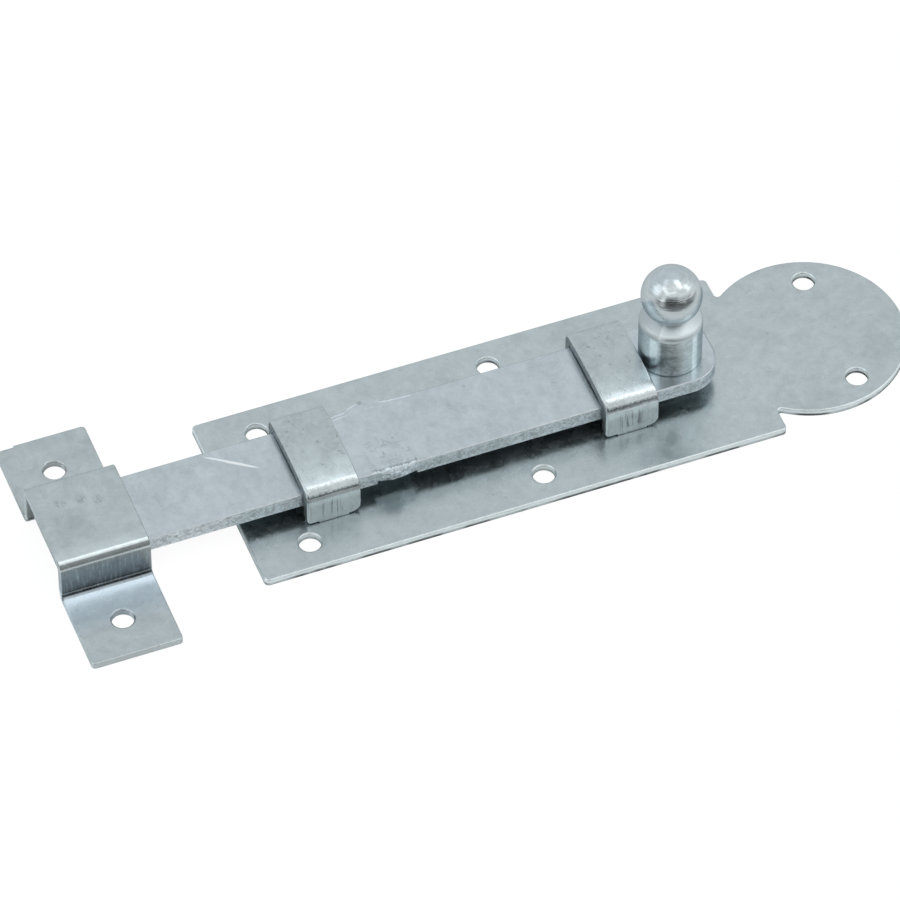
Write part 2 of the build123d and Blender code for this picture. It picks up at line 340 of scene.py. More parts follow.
class Metal:
    """A metal material under construction: its node tree, its place in millimetres, and masks
    for the faces that look along each axis and for the edges."""

    def __init__(self, name, edge, worn=0.3):
        self.material = bpy.data.materials.new(name)
        self.material.use_nodes = True
        self.tree = self.material.node_tree
        self.shader = self.tree.nodes["Principled BSDF"]
        self.shader.inputs["Metallic"].default_value = 1.0
        self.shader.inputs["Specular Tint"].default_value = GRAZING_TINT
        where = self.tree.nodes.new("ShaderNodeTexCoord")
        self.place = Wire(self.tree, where.outputs["Object"]).scaled(PER_MM, PER_MM, PER_MM)
        self.x, self.y, self.z = self.place.parts()
        facing = Wire(self.tree, where.outputs["Normal"])
        self.facing_x, self.facing_y, self.facing_z = facing.parts()
        geometry = self.tree.nodes.new("ShaderNodeNewGeometry")
        self.flat = Wire(self.tree, geometry.outputs["True Normal"])
        self.rounded = self.softened(edge)
        self.edges = self.softened(worn).vector("DOT_PRODUCT", self.flat).step(0.995, 0.88)

    def softened(self, radius):
        """The normal with every edge rounded by that radius in mm."""
        node = self.tree.nodes.new("ShaderNodeBevel")
        node.samples = 6
        node.inputs["Radius"].default_value = radius / PER_MM
        return Wire(self.tree, node.outputs[0])

    def spot(self, x, y, radius, soft):
        """A round mark on a face that looks up or down: 1 inside the radius, 0 beyond soft."""
        out_x = self.x - x
        out_y = self.y - y
        return (out_x * out_x + out_y * out_y).math("SQRT").step(radius + soft, radius)

    def holes(self, places, radius):
        """1 within the radius of each place, given as x and y, and of its mirror image in y."""
        beside = self.y.abs()
        found = self.x * 0.0
        for x, y in places:
            out_x = self.x - x
            out_y = beside - y
            found = found + (out_x * out_x + out_y * out_y).math("SQRT").step(radius, radius - 0.1)
        return found

    def scratch(self, start, end, width):
        """A straight mark from start to end, as x and y in mm, with tapered ends."""
        run_x = end[0] - start[0]
        run_y = end[1] - start[1]
        length = math.hypot(run_x, run_y)
        along = ((self.x - start[0]) * run_x + (self.y - start[1]) * run_y) / length
        aside = ((self.x - start[0]) * run_y - (self.y - start[1]) * run_x) / length
        return aside.abs().step(width, 0.0) * along.band(0.0, length, length * 0.2)

    def finish(self, colour, shade, roughness, height, depth, cooler=0.0):
        """Links the colour and its shade, the roughness, and a relief of that depth in mm. The
        colour turns bluer where cooler, a mask, is 1: a painted tint for shade and dark
        reflections."""
        tone = blend(self.tree, cooler, tinted(shade, colour), PAINTED_SHADE_BLUE, "MULTIPLY")
        plug(self.tree, self.shader.inputs["Base Color"], tone)
        plug(self.tree, self.shader.inputs["Roughness"], roughness)
        relief = self.tree.nodes.new("ShaderNodeBump")
        relief.inputs["Strength"].default_value = 1.0
        relief.inputs["Distance"].default_value = depth / PER_MM
        plug(self.tree, relief.inputs["Height"], height)
        plug(self.tree, relief.inputs["Normal"], self.rounded)
        self.tree.links.new(relief.outputs[0], self.shader.inputs["Normal"])
        return self.material


def coat(node, material):
    """Gives a CAD node's material slots the new material."""
    for index in range(len(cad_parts[node].data.materials)):
        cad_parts[node].data.materials[index] = material


def flecks(place, scale, low, high):
    """Sparse marks with ragged edges: the peaks of a distorted cloud pattern."""
    return noise(place, scale, 2.5, 0.6, 0.8).step(low, high)


sheet = Metal("zinc_sheet", edge=0.35, worn=0.5)
cloud = noise(sheet.place, 0.05, 3.0)
mottle = noise(sheet.place, 0.28, 2.5, 0.55, 0.4)
blots = noise(sheet.place, 0.8, 1.5, 0.5, 0.6)
under_bar = sheet.y.step(-9.0, -11.0) * sheet.y.step(-16.0, -13.0)
dust = flecks(sheet.place, 2.6, 0.62, 0.70) * under_bar
pits = flecks(sheet.place, 0.9, 0.66, 0.74)
streaks = noise(sheet.place.scaled(0.25, 1.0, 1.0), 1.6, 3.0, 0.6, 0.4)
upward = sheet.facing_z.abs().step(0.6, 0.9)
sheared = upward.opposite()
# Painted shade: the walls of the screw holes are darkened.
hole_wall_shade = sheared * sheet.holes(PLATE_HOLES, HOLE_REACH)
# Painted dark reflection: a soft dark patch on the plate in front of the bar's near ear.
dark_reflection = sheet.spot(*DARK_REFLECTION_SPOT, 1.2, 2.5)
bright_stain = sheet.spot(*BRIGHT_STAINS[0], 0.8, 1.6) + sheet.spot(*BRIGHT_STAINS[1], 0.4, 1.0)
bright_stain = bright_stain * mottle.step(0.35, 0.6)
ring_mark = sheet.spot(*RING_MARK, 0.7, 0.4) - sheet.spot(*RING_MARK, 0.3, 0.4)
sheet_shade = cloud.swing(0.24) + mottle.swing(0.30) + blots.swing(0.16) + 1.0
# Painted shade dulls the highlight on the top's rounded edges.
sheet_shade = sheet_shade - pits * 0.14 - sheet.edges * upward * 0.26 - hole_wall_shade * 0.18
# Painted dark reflection, blotched by the mottling; the bright stains and ring are real marks.
sheet_shade = sheet_shade - dark_reflection * mottle * 0.30 + bright_stain * 0.08 - ring_mark * 0.06
# Painted shade on the cut faces, standing in for the shaded table they mirror: lighter toward the
# top and darker in stretches at the foot, over the shear's own streaks.
shaded_foot_stretches = noise(sheet.place.scaled(1.0, 1.0, 0.2), 0.11, 2.0).step(0.42, 0.58)
cut_marks_and_shade = streaks.swing(0.6) + sheet.z.step(0.5, 0.9) * 0.42
cut_marks_and_shade = cut_marks_and_shade - shaded_foot_stretches * sheet.z.step(1.0, 0.4) * 0.75
sheet_shade = sheet_shade + sheared * cut_marks_and_shade
# Painted light: faces that look left are lightened.
sheet_shade = sheet_shade + sheet.facing_x.step(-0.7, -0.9) * 0.10
sheet_rough = cloud.swing(0.06) + mottle.swing(0.30) + 0.26 + sheared * 0.1
sheet_height = mottle * 1.1 + blots * 0.5 - pits * 0.5 + dust * 2.0 + sheared * streaks * 2.0
coat("base_plate", sheet.finish(PLATE_COLOUR, sheet_shade, sheet_rough, sheet_height, PLATE_RELIEF))


# Guide loops: zinc on thick strap, bent hard round a former, which leaves the crown slightly
# domed and the legs drawn. The left edge of each strap is rolled over by the shear, and its
# tabs are peened into the back of the plate. The bands round each near bend, the lighter near
# half of the crown and the lighter tops of the legs are painted highlight and painted shade.
STRAP_COLOUR = (0.560, 0.622, 0.636)
STRAP_THICKNESS = 2.5
STRAP_BEND = 1.75
STRAP_SIDE = 11.75
LOOP_TOP = 11.50
LOOP_FOOT = 2.05
FOOT_EDGE = 0.3
LEFT_ROLL = 0.75
RIGHT_ROLL = 0.35
INNER_ROLL = 0.15
LEFT_CORNER = 1.0
RIGHT_CORNER = 2.5
TAB_HALF_WIDTH = 3.6
TAB_FLARE = 0.5
TAB_INSET = 0.02
TAB_LEVELS = (0.1, 0.6, 2.6)
CROWN_RIPPLE = 0.02
FRONT_DOME = math.radians(8.0)
REAR_DOME = math.radians(6.5)
LOOP_FOLD = 36.375
FRONT_LEAN = 0.22
REAR_LEAN = 0.38
STRAP_RELIEF = 0.014


def rolled(distance, radius):
    """How far a rounded edge has fallen at a distance in from the edge: a quarter circle."""
    inside = np.clip(radius - distance, 0.0, radius)
    return radius - np.sqrt(radius ** 2 - inside ** 2)


def spread(low, high, count, left, right):
    """Places from low to high, packed close within the left and right roundings."""
    turns = np.linspace(0, np.pi / 2, 7)
    first = low + left * (1 - np.cos(turns))
    last = high - right * (1 - np.cos(turns[::-1]))
    return np.concatenate([first, np.linspace(first[-1], last[0], count)[1:-1], last])


def loop_path(dome_angle):
    """Half the strap's middle line, from the crown's centre to the foot, as arrays of y, z, the
    outward direction and the share of the leg that is passed. The crown is a parabola that
    meets the bend at dome_angle; the bend is a circle from there to upright."""
    crown_end = STRAP_SIDE - STRAP_BEND * (1 - math.sin(dome_angle))
    fall = math.tan(dome_angle) / (2 * crown_end)
    crown_y = np.linspace(0, crown_end, 40)
    crown_tilt = np.arctan(2 * fall * crown_y)
    bend_tilt = np.linspace(dome_angle, np.pi / 2, 22)[1:]
    bend_y = crown_end + STRAP_BEND * (np.sin(bend_tilt) - math.sin(dome_angle))
    bend_top = LOOP_TOP - fall * crown_end ** 2
    bend_z = bend_top - STRAP_BEND * (math.cos(dome_angle) - np.cos(bend_tilt))
    leg = np.linspace(0, 1, 14)[1:]
    y = np.concatenate([crown_y, bend_y, np.full(leg.size, STRAP_SIDE)])
    z = np.concatenate([LOOP_TOP - fall * crown_y ** 2, bend_z, np.full(leg.size, bend_z[-1])])
    tilt = np.concatenate([crown_tilt, bend_tilt, np.full(leg.size, np.pi / 2)])
    return y, z, tilt, np.concatenate([np.zeros(crown_y.size + bend_y.size), leg])


def loop_points(centre, half_width, dome_angle):
    """The strap's skin: rows along the loop, columns round its section. The section's outer
    and inner sides are half the thickness off the middle line, less what is rolled over. The
    legs are stretched down to the foot, whose corners are rounded, and the crown has a ripple
    of crossed sine waves."""
    y, z, tilt, passed = loop_path(dome_angle)
    y = np.concatenate([-y[:0:-1], y])
    z = np.concatenate([z[:0:-1], z])
    tilt = np.concatenate([-tilt[:0:-1], tilt])
    passed = np.concatenate([passed[:0:-1], passed])
    edge_turn = np.linspace(0, np.pi / 2, 6)[1:]
    lift = FOOT_EDGE * (1 - np.sin(edge_turn))
    thin = 1 - FOOT_EDGE * (1 - np.cos(edge_turn)) / (STRAP_THICKNESS / 2)

    w = spread(-half_width, half_width, 30, LEFT_ROLL, RIGHT_ROLL)
    from_left = w + half_width
    from_right = half_width - w
    outer = STRAP_THICKNESS / 2 - rolled(from_left, LEFT_ROLL) - rolled(from_right, RIGHT_ROLL)
    inner = STRAP_THICKNESS / 2 - rolled(from_left, INNER_ROLL) - rolled(from_right, INNER_ROLL)
    across = np.concatenate([w, w[::-1]])
    off = np.concatenate([outer, -inner[::-1]])
    corners = rolled(half_width - across, RIGHT_CORNER) + rolled(across + half_width, LEFT_CORNER)
    foot = LOOP_FOOT + corners
    lowered = passed[:, None] * (foot + FOOT_EDGE - z[:, None])

    rows = [np.stack([
        np.broadcast_to(centre + across, (y.size, across.size)),
        y[:, None] + np.sin(tilt)[:, None] * off,
        z[:, None] + np.cos(tilt)[:, None] * off + lowered,
    ], axis=-1)]
    for side, order in ((-1, slice(None, None, -1)), (1, slice(None))):
        ends = np.stack([
            np.broadcast_to(centre + across, (lift.size, across.size)),
            side * (STRAP_SIDE + thin[:, None] * off),
            foot + lift[:, None],
        ], axis=-1)[order]
        rows.insert(0 if side < 0 else len(rows), ends)
    points = np.concatenate(rows)
    skin_x, skin_y = points[..., 0], points[..., 1]
    ripple = CROWN_RIPPLE * np.sin(skin_x * 0.9 + skin_y * 0.55) * np.cos(skin_y * 0.8 + 1.0)
    points[..., 2] += ripple * (points[..., 2] > LOOP_TOP - 2)
    return points


def loop_faces(rows, columns):
    """The skin's quads, and quads from the outer to the inner side across both feet."""
    index = np.arange(rows * columns).reshape(rows, columns)
    half = columns // 2
    faces = grid_faces(rows, columns)
    for foot in (index[0], index[-1]):
        outer = foot[:half]
        inner = foot[half:][::-1]
        faces += np.stack([outer[:-1], outer[1:], inner[1:], inner[:-1]], axis=-1).tolist()
    return faces


def tab_points(centre, side):
    """A tab: a box that widens to the flare at its peened end, as rings of four corners."""
    rings = []
    for level, more in zip(TAB_LEVELS, (TAB_FLARE, 0.0, 0.0)):
        x = TAB_HALF_WIDTH + more
        y = STRAP_THICKNESS / 2 + more - TAB_INSET
        ring = np.array([[-x, -y], [x, -y], [x, y], [-x, y]]) + (centre, side * STRAP_SIDE)
        rings.append(np.column_stack([ring, np.full(4, level)]))
    return np.array(rings)


def add_guide(node, dome_angle, material):
    """One guide loop with its two tabs, in place of its plain node."""
    low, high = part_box(node)
    centre = (low.x + high.x) / 2 * PER_MM
    skin = loop_points(centre, (high.x - low.x) / 2 * PER_MM, dome_angle)
    points = [skin.reshape(-1, 3)]
    faces = loop_faces(*skin.shape[:2])
    count = len(points[0])
    for side in (-1, 1):
        tab = tab_points(centre, side)
        ring_faces = grid_faces(len(tab), 4) + [[0, 1, 2, 3], [8, 9, 10, 11]]
        faces += [[count + corner for corner in face] for face in ring_faces]
        points.append(tab.reshape(-1, 3))
        count += tab.size // 3
    piece = shape(node + "_strap", np.concatenate(points), faces, material)
    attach(piece, "fixed_parts")
    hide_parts(node)


strap = Metal("zinc_strap", edge=0.15, worn=0.3)
leg = strap.facing_y.abs().step(0.90, 0.99) * strap.z.step(10.2, 9.6)
crown = strap.facing_z.step(0.93, 0.99)
bend = leg.opposite() * crown.opposite()
left_face = strap.facing_x.step(-0.80, -0.97)
right_face = strap.facing_x.step(0.80, 0.97)
near = strap.y.step(-2.0, -8.5)
cloud = noise(strap.place, 0.12, 3.0)
mottle = noise(strap.place.scaled(1.0, 0.7, 0.7), 0.4, 2.5, 0.6, 1.0)
blots = noise(strap.place, 0.9, 2.0, 0.6, 1.2)
speckle = noise(strap.place, 2.0, 2.0, 0.6)
dark_flecks = flecks(strap.place, 0.7, 0.64, 0.70) * crown
draw = noise(strap.place.scaled(1.0, 0.05, 0.05), 1.5, 2.0, 0.6)
# Painted glints: light flecks on the near crown, where the highlight falls.
glint_flecks = flecks(strap.place, 1.4, 0.60, 0.70) * strap.y.step(-6.0, -9.5) * crown
strap_shade = cloud.swing(0.20) + mottle.swing(0.40) + blots.swing(0.26) + 0.93
# Painted light on the near half of the crown, and painted glints; the dark flecks are real marks.
strap_shade = strap_shade + near * crown * 0.26 + glint_flecks * 0.16 - dark_flecks * 0.35
facing_front = strap.y.step(-10.0, -10.6)
front = strap.x.step(5.0, -5.0)
# Painted shade and highlight round each near bend, by how far its normal leans: a speckled dark
# band halfway round, tinted bluer, with a second one lower on the rear loop; a bright band near the
# top; and a dark band low on the front loop.
low_bend = strap.facing_z.band(0.24, 0.40, 0.05)
painted_bend_shade = (strap.facing_z.band(0.46, 0.64, 0.05) + low_bend * front.opposite()) * facing_front
painted_bend_highlight = strap.facing_z.band(0.90, 0.985, 0.015) * facing_front
painted_curl_shade = strap.facing_z.band(0.10, 0.34, 0.06) * facing_front * front
strap_shade = strap_shade - painted_bend_shade * (speckle.swing(1.6) + 0.36 - front * 0.20)
strap_shade = strap_shade + painted_bend_highlight * (speckle.swing(0.8) + 0.05) - painted_curl_shade * 0.50
middle = strap.x.math("PINGPONG", LOOP_FOLD).band(27.2, 32.2, 0.8)
strokes = draw.step(0.52, 0.60) * (middle * strap.z.band(3.9, 8.6, 0.7) * 0.46 + 0.06)
# Painted light: the upper part of each leg is lightened; the strokes are draw marks.
strap_shade = strap_shade + leg * (strap.z.step(7.0, 8.8) * 0.28 + 0.01 - strokes)
# The left faces are set darker and blotchy; the right faces get a plain level, painted light that
# brightens their reflection in the knob.
strap_shade = strap_shade.toward(blots.swing(0.9) + 0.58, left_face).toward(1.0, right_face)
strap_rough = cloud.swing(0.10) + mottle.swing(0.18) + 0.29
strap_rough = strap_rough - bend * 0.07 + left_face * 0.25
lean = strap.x.step(-5.0, 5.0) * (REAR_LEAN - FRONT_LEAN) + FRONT_LEAN
sag = strap.y.step(-8.2, -12.2) * lean / STRAP_RELIEF
strap_height = mottle * 2.0 + blots * 1.2 + speckle * bend * 0.5 - leg * draw * 0.8 - sag
strap_metal = strap.finish(
    STRAP_COLOUR, strap_shade, strap_rough, strap_height, STRAP_RELIEF, painted_bend_shade * 0.5
)
add_guide("front_guide", FRONT_DOME, strap_metal)
add_guide("rear_guide", REAR_DOME, strap_metal)


# Bolt bar: satin zinc on flat bar, sheared to length, so its sides are rough and speckled.
# Its two ears are pinched out of the edges. The far one is squeezed out further, with a sharp
# crease along it, so it has a skin of its own over the plain one.
BAR_COLOUR = (0.580, 0.640, 0.668)
BAR_RELIEF = 0.010
SCORE_LINES = (((-65.7, 8.35), (-58.9, 3.75)), ((-62.0, 5.6), (-56.2, 1.65)))
BAR_SIDE = 10.0
# The far ear: places along the bar, and how far it stands out past the bar's side at each.
EAR_X = (
    -35.8, -34.9, -32.9, -31.8, -30.7, -29.5, -28.3, -27.1,
    -26.1, -25.2, -23.7, -22.9, -22.2, -20.5, -18.1, -15.0,
)
EAR_REACH = (
    -0.10, 0.04, 0.20, 0.30, 1.00, 1.45, 1.85, 2.17,
    2.05, 1.70, 1.15, 0.50, 0.38, 0.25, 0.12, -0.05,
)
EAR_ROWS = 200
EAR_COLUMNS = 60
EAR_EDGE_STEPS = 12
EAR_PIT = (-27.5, 11.3)
EAR_RIPPLE = 0.05
EAR_TAPER = 0.8
EAR_ROOT = 3.0
EAR_EDGE = 0.25
EAR_DEPTH = 1.8
EAR_PROUD = 0.015
EAR_LIFT = 0.078
# Its creases: how far in from the outline and how wide, and where along the bar they fade.
OUTER_CREASE = (0.50, 0.22)
OUTER_FADE = (-25.5, 1.7)
INNER_CREASE = (1.40, 0.25)
INNER_FADE = (-29.5, 2.0)
EAR_DIP = 0.08
EAR_SUNK = 0.30
bar = Metal("zinc_bar", edge=0.12, worn=0.3)
sides = bar.facing_z.abs().step(0.5, 0.2)
cloud = noise(bar.place, 0.08, 3.0)
mottle = noise(bar.place.scaled(1.0, 0.7, 1.0), 0.32, 2.5, 0.6, 0.5)
blots = noise(bar.place, 0.9, 1.5, 0.5, 0.8)
tears = noise(bar.place.scaled(0.8, 0.8, 1.0), 1.2, 4.0, 0.75, 0.8).step(0.34, 0.66)
pits = flecks(bar.place, 0.8, 0.67, 0.75)
beside = bar.y.abs()
ears = bar.x.band(-30.5, -21.8, 0.8) * beside.step(6.5, 9.5)
crumple = noise(bar.place, 0.7, 3.0, 0.6, 1.5)
pinched = bar.x.band(-31.5, -21.5, 1.0) * beside.band(0.5, 9.0, 1.5) * bar.y.step(1.0, 0.0)
fold = beside + crumple.swing(1.7) - 9.3
# Painted highlight and shade: a light and a dark line along the fold by the near ear.
crease_highlight_and_shade = fold.band(0.25, 0.60, 0.18) * 0.38 - fold.band(-0.30, 0.10, 0.18) * 0.28
painted_crease_lines = bar.y.step(2.0, -2.0) * bar.x.band(-32.0, -21.0, 0.8) * crease_highlight_and_shade
scored = bar.scratch(*SCORE_LINES[0], 0.40) + bar.scratch(*SCORE_LINES[1], 0.45)
bar_shade = cloud.swing(0.24) + mottle.swing(0.32) + blots.swing(0.20) + 1.0
# Painted shade dulls the highlight on the bar's rounded edges; the scratches are real marks.
bar_shade = bar_shade - pits * 0.18 + scored.math("MINIMUM", 1.0) * 0.85 - bar.edges * 0.55
near_ear = ears * bar.y.step(4.0, -4.0)
bar_shade = bar_shade + near_ear * (crumple.step(0.40, 0.60) - 0.5) * 0.40
bar_shade = bar_shade - pinched * crumple.step(0.54, 0.62) * 0.22
# Painted highlight along the far ear's rounded edges, and the painted crease lines on the top.
bar_shade = bar_shade + ears * bar.edges * bar.y.step(6.0, 7.0) * 1.3 + painted_crease_lines * sides.opposite()
middle_height = bar.z.band(6.6, 8.2, 0.9)
# Painted highlight: a light line along the foot of the bar's sides.
lower_edge_highlight = bar.z.step(5.85, 5.60)
bar_shade = bar_shade + sides * (tears.swing(0.64) + 0.08 - middle_height * 0.12 + lower_edge_highlight * 0.35)
bar_shade = bar_shade - bar.spot(*EAR_PIT, 0.2, 0.6) * bar.z.step(7.5, 9.0) * 0.30
bar_rough = cloud.swing(0.06) + mottle.swing(0.14) + 0.29 + sides * 0.14
bar_height = mottle * 1.3 + blots * 0.6 - pits * 0.6 + sides * tears * 2.0 + ears * crumple * 3.0
coat("bolt_bar", bar.finish(BAR_COLOUR, bar_shade, bar_rough, bar_height, BAR_RELIEF))


def bell(distance, centre, width):
    """A bell curve of height 1: e to the power of minus the square of the offset over width."""
    return np.exp(-((distance - centre) / width) ** 2)


def ear_points(top):
    """The far ear's skin: rows along the bar, columns round its section. The outline is a
    straight-line table of how far the metal was squeezed out, with a small ripple. The upper
    face lies a hair above the bar's, with two bell-shaped creases that follow the outline, and
    dips into it further in; the outer face is a half ellipse. Both ends sink into the bar."""
    x = np.linspace(EAR_X[0], EAR_X[-1], EAR_ROWS)[:, None]
    swell = np.clip(np.minimum(x - EAR_X[0], EAR_X[-1] - x) / EAR_TAPER, 0, 1)
    ripple = EAR_RIPPLE * np.sin(2.9 * x) * np.sin(1.3 * x + 1.0)
    outline = BAR_SIDE + np.interp(x, EAR_X, EAR_REACH) + ripple
    root = BAR_SIDE - EAR_ROOT
    across = np.linspace(0, 1, EAR_COLUMNS)
    y = root + (outline - EAR_EDGE - root) * across
    inward = outline - y
    outer = (1 - 0.75 * bell(x, *OUTER_FADE)) * bell(inward, *OUTER_CREASE)
    fading = np.clip((INNER_FADE[0] - x) / INNER_FADE[1], 0, 1)
    inner = fading * bell(inward, *INNER_CREASE)
    dip = np.clip((inward - 2.0) / 0.9, 0, 1) * np.clip((BAR_SIDE - 0.3 - y) / 0.7, 0, 1)
    z = top + EAR_PROUD + EAR_LIFT * (outer + inner) - EAR_DIP * dip
    z = z - EAR_SUNK * (1 - swell) - EAR_SUNK * (across < 0.01)
    turn = np.linspace(np.pi / 2, -np.pi / 2, EAR_EDGE_STEPS)[1:]
    edge_y = outline - EAR_EDGE + EAR_EDGE * np.cos(turn)
    edge_z = z[:, -1:] - EAR_DEPTH / 2 * (1 - np.sin(turn))
    y = np.concatenate([y, edge_y, np.full_like(x, root)], axis=1)
    z = np.concatenate([z, edge_z, edge_z[:, -1:]], axis=1)
    return np.stack([np.broadcast_to(x, y.shape), y, z], axis=-1)


ear_skin = ear_points(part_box("bolt_bar")[1].z * PER_MM)
ear_rows, ear_columns = ear_skin.shape[:2]
ear_quads = grid_faces(ear_rows, ear_columns)
ear_front = list(range(ear_columns))
ear_tail = list(range((ear_rows - 1) * ear_columns, ear_rows * ear_columns))
ear_ends = [ear_front, ear_tail]
far_ear = shape("far_ear", ear_skin, ear_quads + ear_ends, bar.material)
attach(far_ear, "bolt")


# Knob: turned from round bar and plated bright, with fine turning marks round its axis. Its
# spigot goes through the bar and is riveted over underneath.
KNOB_COLOUR = (0.572, 0.635, 0.655)
DRUM_RADIUS = 7.4
DRUM_SIDE_TOP = 20.45
DRUM_FOOT_BREAK = 0.25
SHOULDER_ROUND = 2.0
SHOULDER_ANGLE = math.radians(28.5)
BALL_RADIUS = 7.1
BALL_SEAT = 4.15
SPIGOT_RADIUS = 3.0
RIVET_RADIUS = 4.6
RIVET_ROUND = 1.2
SPRING_THICKNESS = 0.6
KNOB_SIDES = 160
KNOB_RELIEF = 0.008


def arc(radius, height, size, start, end, count):
    """Points of a circle in the profile's plane, from one angle to the other, as (r, z) rows."""
    turn = np.linspace(start, end, count)
    return np.column_stack([radius + size * np.cos(turn), height + size * np.sin(turn)])


def lathe(name, profile, axis_x, count, material):
    """A profile turned about an upright axis. Its first and last points lie on the axis."""
    turn = np.linspace(0, 2 * np.pi, count, endpoint=False)
    radius, height = profile[1:-1, 0, None], profile[1:-1, 1, None]
    skin = np.stack([
        axis_x + radius * np.cos(turn),
        radius * np.sin(turn),
        np.broadcast_to(height, (len(profile) - 2, count)),
    ], axis=-1).reshape(-1, 3)
    poles = [[axis_x, 0.0, profile[0, 1]], [axis_x, 0.0, profile[-1, 1]]]
    ring = np.arange(count)
    first, last = len(skin), len(skin) + 1
    top = len(skin) - count + ring
    faces = grid_faces(len(profile) - 2, count)
    faces += np.column_stack([np.full(count, first), np.roll(ring, -1), ring]).tolist()
    faces += np.column_stack([np.full(count, last), top, np.roll(top, -1)]).tolist()
    return shape(name, np.concatenate([skin, poles]), faces, material)


bar_low, bar_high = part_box("bolt_bar")
knob_low, knob_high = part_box("knob")
bar_top = bar_high.z * PER_MM
rivet_top = bar_low.z * PER_MM - SPRING_THICKNESS
rivet_foot = knob_low.z * PER_MM
knob_x = (knob_low.x + knob_high.x) / 2 * PER_MM
ball_top = knob_high.z * PER_MM
ball_height = ball_top - BALL_RADIUS
seat_angle = -math.acos(BALL_SEAT / BALL_RADIUS)
shoulder_end = np.pi / 2 - SHOULDER_ANGLE
knob_profile = np.concatenate([
    [[0.0, rivet_foot]],
    arc(RIVET_RADIUS - RIVET_ROUND, rivet_foot + RIVET_ROUND, RIVET_ROUND, -np.pi / 2, 0, 8),
    [[RIVET_RADIUS, rivet_top], [SPIGOT_RADIUS, rivet_top], [SPIGOT_RADIUS, bar_top]],
    [[DRUM_RADIUS - DRUM_FOOT_BREAK, bar_top], [DRUM_RADIUS, bar_top + DRUM_FOOT_BREAK]],
    arc(DRUM_RADIUS - SHOULDER_ROUND, DRUM_SIDE_TOP, SHOULDER_ROUND, 0, shoulder_end, 14),
    arc(0.0, ball_height, BALL_RADIUS, seat_angle, np.pi / 2, 64)[:-1],
    [[0.0, ball_top]],
])
turned = Metal("zinc_turned", edge=0.2, worn=0.3)
drum = turned.z.step(20.9, 20.3)
ball = turned.z.step(23.3, 23.6)
shoulder = (drum + ball).opposite()
rings = noise(turned.place.scaled(0.12, 0.12, 1.0), 2.6, 2.0, 0.6)
cloud = noise(turned.place, 0.2, 3.0)
mottle = noise(turned.place.scaled(0.6, 0.6, 1.0), 0.8, 4.0, 0.7, 0.8)
blots = noise(turned.place, 1.4, 3.0, 0.65, 1.0)
around_knob = (turned.x - knob_x).math("ARCTAN2", -turned.y) * DEGREES
# Painted shade and highlights on the drum, by the angle round the knob: a darker zone at the front,
# two bright stripes and a lighter right side.
painted_drum_shade = around_knob.step(-43.0, -38.0) * around_knob.step(6.0, -16.0)
painted_drum_highlights = around_knob.band(-62.0, -46.0, 3.0) + around_knob.band(21.0, 33.0, 2.0)
knob_shade = cloud.swing(0.10) + blots.swing(0.22) + 1.0
drum_shade = mottle.swing(1.1) - painted_drum_shade * 0.46 + painted_drum_highlights * 0.45
# Painted light: the drum's right side is lightened.
knob_shade = knob_shade + drum * (drum_shade + around_knob.step(52.0, 58.0) * 0.14)
# Painted shade: the shoulder is darker on its left and a little lighter elsewhere.
painted_shoulder_shade = around_knob.step(-44.0, -48.0) * 0.22 - 0.08
knob_shade = knob_shade + ball * rings.swing(0.40) - shoulder * painted_shoulder_shade
# Painted dark reflection: a belt just below the ball's middle, on its front, broken by the rings.
reflected_dark_belt = ball * around_knob.band(-56.0, 27.0, 7.0) * turned.z.band(32.2, 33.6, 0.5)
knob_shade = knob_shade - reflected_dark_belt * (rings.step(0.62, 0.40) * 0.45 + 0.12)
knob_rough = cloud.swing(0.05) + rings.swing(0.20) * ball + 0.20
knob_rough = knob_rough + drum * 0.10 + shoulder * 0.2
low_ball = ball * turned.z.step(35.4, 34.2)
knob_height = rings * (low_ball * 4.0 + ball * 0.6) + mottle * drum * 1.5 + blots * 0.8
knob_metal = turned.finish(KNOB_COLOUR, knob_shade, knob_rough, knob_height, KNOB_RELIEF)
knob = lathe("turned_knob", knob_profile, knob_x, KNOB_SIDES, knob_metal)
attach(knob, "bolt")
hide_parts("knob")


# Leaf spring: a strip of dark spring steel under the bar, pinned by the knob's rivet. It rubs
# on the plate, so it has no zinc on it.
SPRING_COLOUR = (0.34, 0.36, 0.38)
SPRING_RELIEF = 0.006
spring = Metal("spring_steel", edge=0.15)
cloud = noise(spring.place, 0.3, 3.0)
rub = noise(spring.place.scaled(0.1, 1.0, 1.0), 2.0, 3.0)
spring_shade = cloud.swing(0.2) + rub.swing(0.15) + 1.0
spring_rough = cloud * 0.1 + 0.3
coat("bar_spring", spring.finish(SPRING_COLOUR, spring_shade, spring_rough, rub, SPRING_RELIEF))


# Keeper: the same sheet as the plate, bent into a hat over the bar's tip. The tool has
# scored fine upright draw marks into its legs and left scuffs on its crown. The bands across
# its near fold, its darker legs and the lighter strip along its near edge are painted light
# and shade.
KEEPER_RELIEF = 0.010
KEEPER_HOLES = ((-97.2, 23.6),)
FOLD_REACH = 21.0
FOLD_RISE = 0.0245
SCUFFS = ((-101.7, 5.1), (-97.1, 4.6), (-93.5, 3.3))
# Where a painted dark reflection lies on the keeper's crown.
CROWN_DARK_REFLECTION = (-100.9, -1.5)
keeper = Metal("zinc_keeper", edge=0.35, worn=0.5)
upward = keeper.facing_z.abs().step(0.6, 0.9)
cloud = noise(keeper.place, 0.08, 3.0)
mottle = noise(keeper.place, 0.32, 2.5, 0.55, 0.8)
blots = noise(keeper.place, 0.9, 2.0, 0.5, 1.5)
draw = noise(keeper.place.scaled(1.0, 0.08, 0.10), 1.9, 4.0, 0.75)
pits = flecks(keeper.place, 0.8, 0.65, 0.73)
